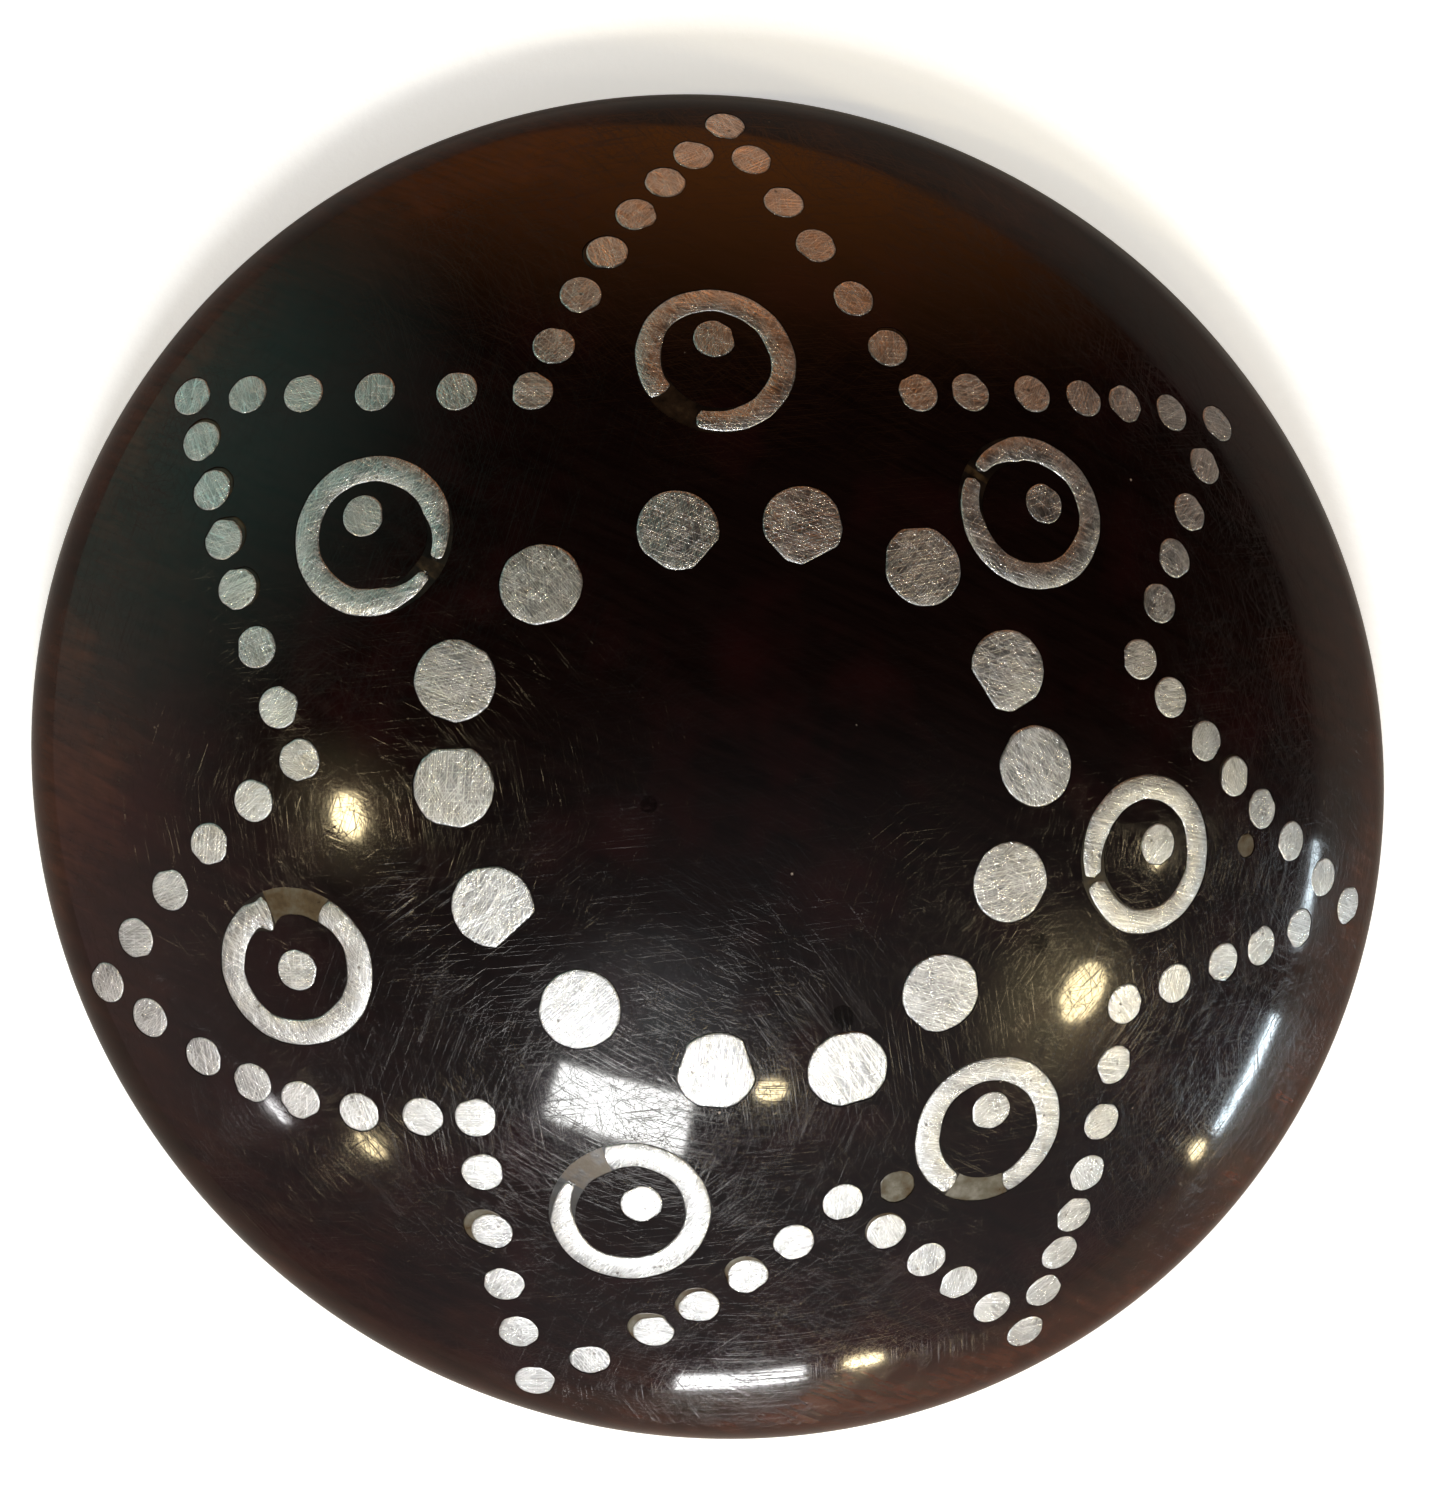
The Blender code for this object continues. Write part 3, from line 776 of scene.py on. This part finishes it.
def bowl_profile():
    """(radius, height) over the outside, round the lip and back over the inside."""
    outside = OUTSIDE.points(HEIGHT, *OUTSIDE_STEPS)
    lip = []
    for centre, start, end in ((BOWL_RADIUS - LIP_ROUND, 0, -90),
                               (BOWL_RADIUS - WALL + LIP_ROUND, -90, -180)):
        for i in range(LIP_STEPS + 1):
            angle = math.radians(start + (end - start) * i / LIP_STEPS)
            lip.append((centre + LIP_ROUND * math.cos(angle),
                        LIP_ROUND + LIP_ROUND * math.sin(angle)))
    inside = INSIDE.points(HEIGHT - WALL, *INSIDE_STEPS)
    inside.reverse()
    return outside, lip, inside


def bowl_mesh():
    angles = np.arange(BOWL_SIDES) * 2 * math.pi / BOWL_SIDES
    outside, lip, inside = bowl_profile()
    dome_rows = len(outside) - 1
    inside_dome = dome_rows + len(lip) + INSIDE_STEPS[1]
    rows = []
    for i, (radius, height) in enumerate(outside[1:] + lip + inside[:-1]):
        x, y = made_oval(radius * np.cos(angles), radius * np.sin(angles))
        z = np.full(BOWL_SIDES, height)
        if i < dome_rows:
            z = z + hand_waves(x, y) * wave_share(radius)
        elif i >= inside_dome:
            turning = TURNING_DEPTH * np.sin(radius / TURNING_WIDTH)
            z = z + turning + 0.6 * hand_waves(y, x)
        rows.append(np.stack([x, y, z], -1))
    faces = lofted_faces(len(rows), BOWL_SIDES)
    points = np.concatenate(rows)
    top, bottom = len(points), len(points) + 1
    middles = [[0, 0, float(outside_height(0.0, 0.0))], [0, 0, HEIGHT - WALL]]
    points = np.concatenate([points, middles])
    last = (len(rows) - 1) * BOWL_SIDES
    for j in range(BOWL_SIDES):
        k = (j + 1) % BOWL_SIDES
        faces.append((top, j, k))
        faces.append((bottom, last + k, last + j))
    return points, faces


def read(items, name, width, kind):
    """One value of every item, as an array."""
    values = np.empty(len(items) * width, kind)
    items.foreach_get(name, values)
    return values.reshape(-1, width) if width > 1 else values


def true_normals(obj):
    """Shades the outside by its own formula, so that the cut edges of the sockets don't show."""
    mesh = obj.data
    mesh.set_sharp_from_angle(angle=math.radians(SHARP_WOOD))
    normals = read(mesh.corner_normals, "vector", 3, np.float32)
    corner = read(mesh.loops, "vertex_index", 1, np.int32)
    at = read(mesh.vertices, "co", 3, np.float32)[corner].astype(float)
    sides = read(mesh.polygons, "loop_total", 1, np.int32)
    face = np.repeat(read(mesh.polygons, "normal", 3, np.float32), sides, axis=0)
    true = outside_normal(at[:, 0], at[:, 1])
    near = np.abs(outside_height(at[:, 0], at[:, 1]) - at[:, 2]) < 0.03 * MM
    near &= round_radius(at[:, 0], at[:, 1]) < BOWL_RADIUS - 1.2 * MM
    near &= (true * face).sum(1) > 0.9
    normals[near] = true[near]
    mesh.normals_split_custom_set([tuple(v) for v in normals])


def make_bowl(inlay, material):
    points, faces = bowl_mesh()
    bowl = mesh_object("bowl_body", points, faces, material)
    cutter = mesh_object("sockets", inlay.sockets["points"], inlay.sockets["faces"])
    cut = bowl.modifiers.new("Sockets", "BOOLEAN")
    cut.operation = "DIFFERENCE"
    cut.solver = "MANIFOLD"
    cut.object = cutter
    bpy.context.view_layer.update()
    graph = bpy.context.evaluated_depsgraph_get()
    mesh = bpy.data.meshes.new_from_object(bowl.evaluated_get(graph))
    bowl.modifiers.clear()
    old = bowl.data
    bowl.data = mesh
    bpy.data.meshes.remove(old)
    bpy.data.objects.remove(cutter, do_unlink=True)
    true_normals(bowl)
    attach(bowl, "root")
    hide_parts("bowl")


def with_values(obj, name, values):
    """Gives each face its own number, for the material to read."""
    layer = obj.data.attributes.new(name, "FLOAT", "FACE")
    layer.data.foreach_set("value", values)


def make_resin(inlay, material):
    store = inlay.resin
    resin = mesh_object("resin_filler", store["points"], store["faces"], material,
                        SHARP_RESIN)
    with_values(resin, "tone", store["values"])
    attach(resin, "root")


def make_metal(inlay, discs, rings, dots):
    for name, store in inlay.pieces.items():
        if name.startswith("large_disc"):
            material, slot = discs, "disc_metal"
        elif name.startswith("ring_") and not name.startswith("ring_dot"):
            material, slot = rings, "ring_metal"
        else:
            material, slot = dots, "dot_metal"
        piece = mesh_object(f"{name}_metal", store["points"], store["faces"], material,
                            SHARP_METAL)
        with_values(piece, "turn", store["values"])
        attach(piece, "root")
        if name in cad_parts:
            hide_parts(name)


# ---- floor, lights, camera -----------------------------------------------------------------

FLOOR_REACH = 3.0


def make_floor(material):
    corners = [(x * FLOOR_REACH, y * FLOOR_REACH, 0)
               for x, y in ((-1, -1), (1, -1), (1, 1), (-1, 1))]
    mesh_object("floor", corners, [(0, 1, 2, 3)], material)


def direction(bearing, elevation):
    a, e = math.radians(bearing), math.radians(elevation)
    return Vector((math.cos(a) * math.cos(e), math.sin(a) * math.cos(e), math.sin(e)))


def soft_light(name, bearing, elevation, distance, size, watts, colour):
    """An area light aimed at the top of the bowl, from a bearing and a height above level."""
    towards = direction(bearing, elevation)
    light = bpy.data.lights.new(name, "AREA")
    light.shape = "ELLIPSE" if name.startswith("Lamp") else "RECTANGLE"
    light.size, light.size_y = size
    light.energy = watts
    light.color = colour
    obj = bpy.data.objects.new(name, light)
    bpy.context.scene.collection.objects.link(obj)
    obj.location = Vector((0, 0, HEIGHT * 0.7)) + towards * distance
    obj.rotation_euler = towards.to_track_quat("Z", "Y").to_euler()
    obj.visible_camera = False


# Lights: name, bearing and elevation in degrees, distance, (width, height) in metres, watts,
# colour. The lamps are oval.
GOLD = (1.0, 0.84, 0.52)
LIGHTS = (
    ("Window", -101, 43, 0.8, (0.22, 0.12), 3.6, (1.0, 1.0, 0.98)),
    ("Low window", -83, 0.5, 0.5, (0.105, 0.020), 0.34, (1.0, 1.0, 1.0)),
    ("Right window", -28, -2, 0.24, (0.050, 0.006), 0.040, (0.80, 0.93, 1.0)),
    ("Far right window", -11, -2, 0.24, (0.040, 0.005), 0.016, (0.80, 0.93, 1.0)),
    ("Lamp left", -170, 45, 0.9, (0.085, 0.070), 1.00, GOLD),
    ("Lamp right", -30, 31, 0.9, (0.120, 0.095), 1.35, GOLD),
    ("Lamp far right", -9.5, 27, 0.9, (0.045, 0.035), 0.34, GOLD),
    ("Lamp middle", -77, 47, 0.9, (0.055, 0.045), 0.42, GOLD),
    ("Lamp lower left", -127, 21, 0.9, (0.060, 0.045), 0.38, GOLD),
    ("Lamp low", -71, 1, 0.9, (0.060, 0.030), 0.36, GOLD),
    ("Lamp lower right", -36, -1, 0.3, (0.010, 0.010), 0.014, GOLD),
    ("Lamp white", -137, 15, 0.9, (0.060, 0.020), 0.16, (1.0, 1.0, 1.0)),
)
# The room: soft glows seen in the metal, each with its bearing, elevation, half width, colour.
GLOWS = (
    (-82, 24, 78, (0.57, 0.58, 0.60)),
    (-100, 56, 15, (1.30, 1.38, 1.45)),
    (-33, 34, 13, (2.70, 2.20, 1.20)),
    (-171, 46, 10, (1.40, 1.15, 0.65)),
    (-165, 3, 40, (0.96, 0.78, 0.74)),
    (148, 9, 40, (0.50, 0.92, 0.79)),
    (82, -8, 46, (1.55, 0.54, 0.12)),
    (-22, 1, 32, (0.18, 0.19, 0.20)),
)
ROOM = (0.022, 0.015, 0.012)
BACKDROP = (0.93, 0.93, 0.93, 1.0)


def make_lights():
    for light in LIGHTS:
        soft_light(*light)


def make_world():
    """A dark room with soft glows, mostly in front. To the camera it is plain and pale."""
    world = bpy.data.worlds.new("Room")
    bpy.context.scene.world = world
    world.use_nodes = True
    world.node_tree.nodes.clear()
    n = Nodes(world.node_tree, "Generated")
    colour = n.combine(*ROOM)
    for bearing, elevation, width, glow in GLOWS:
        towards = n.vector("DOT_PRODUCT", n.place, direction(bearing, elevation), "Value")
        soft = n.math("POWER", n.range(towards, math.cos(math.radians(width)), 1.0), 1.4)
        colour = n.vector("ADD", colour, n.vector("MULTIPLY", n.combine(soft, soft, soft), glow))
    room = n.add("ShaderNodeBackground")
    n.link(colour, room.inputs["Color"])
    backdrop = n.add("ShaderNodeBackground")
    backdrop.inputs["Color"].default_value = BACKDROP
    mixed = n.add("ShaderNodeMixShader")
    n.link(n.add("ShaderNodeLightPath").outputs["Is Camera Ray"], mixed.inputs[0])
    n.link(room.outputs[0], mixed.inputs[1])
    n.link(backdrop.outputs[0], mixed.inputs[2])
    n.link(mixed.outputs[0], n.add("ShaderNodeOutputWorld").inputs["Surface"])


CAMERA_AT = Vector((-47.2, 6.5, 270.9)) * MM
CAMERA_AIM = Vector((-3.1, 1.9, 20.0)) * MM
CAMERA_LENS = 79.9
SENSOR = 36.0                # millimetres along the picture's long side
VIEW_GAMMA = 0.88            # a little more contrast in the dark wood


def make_camera():
    data = bpy.data.cameras.new("Camera")
    data.lens = CAMERA_LENS
    data.sensor_width = SENSOR
    data.clip_start = 0.01
    data.clip_end = 20.0
    camera = bpy.data.objects.new("Camera", data)
    bpy.context.scene.collection.objects.link(camera)
    forward = (CAMERA_AIM - CAMERA_AT).normalized()
    right = forward.cross(Vector((0, 1, 0))).normalized()
    up = right.cross(forward)
    turn = Matrix((right, up, -forward)).transposed()
    camera.matrix_world = Matrix.Translation(CAMERA_AT) @ turn.to_4x4()
    bpy.context.scene.camera = camera


def main():
    inlay = Inlay()
    lay_out(inlay)
    make_bowl(inlay, wood_finish())
    make_resin(inlay, resin_finish())
    make_metal(inlay, metal_finish("Filed disc metal", DISC_METAL),
               metal_finish("Filed ring metal", RING_METAL),
               metal_finish("Filed dot metal", DOT_METAL))
    make_floor(floor_finish())
    make_lights()
    make_world()
    make_camera()
    look = bpy.context.scene.view_settings
    look.view_transform = "Standard"
    look.gamma = VIEW_GAMMA


main()
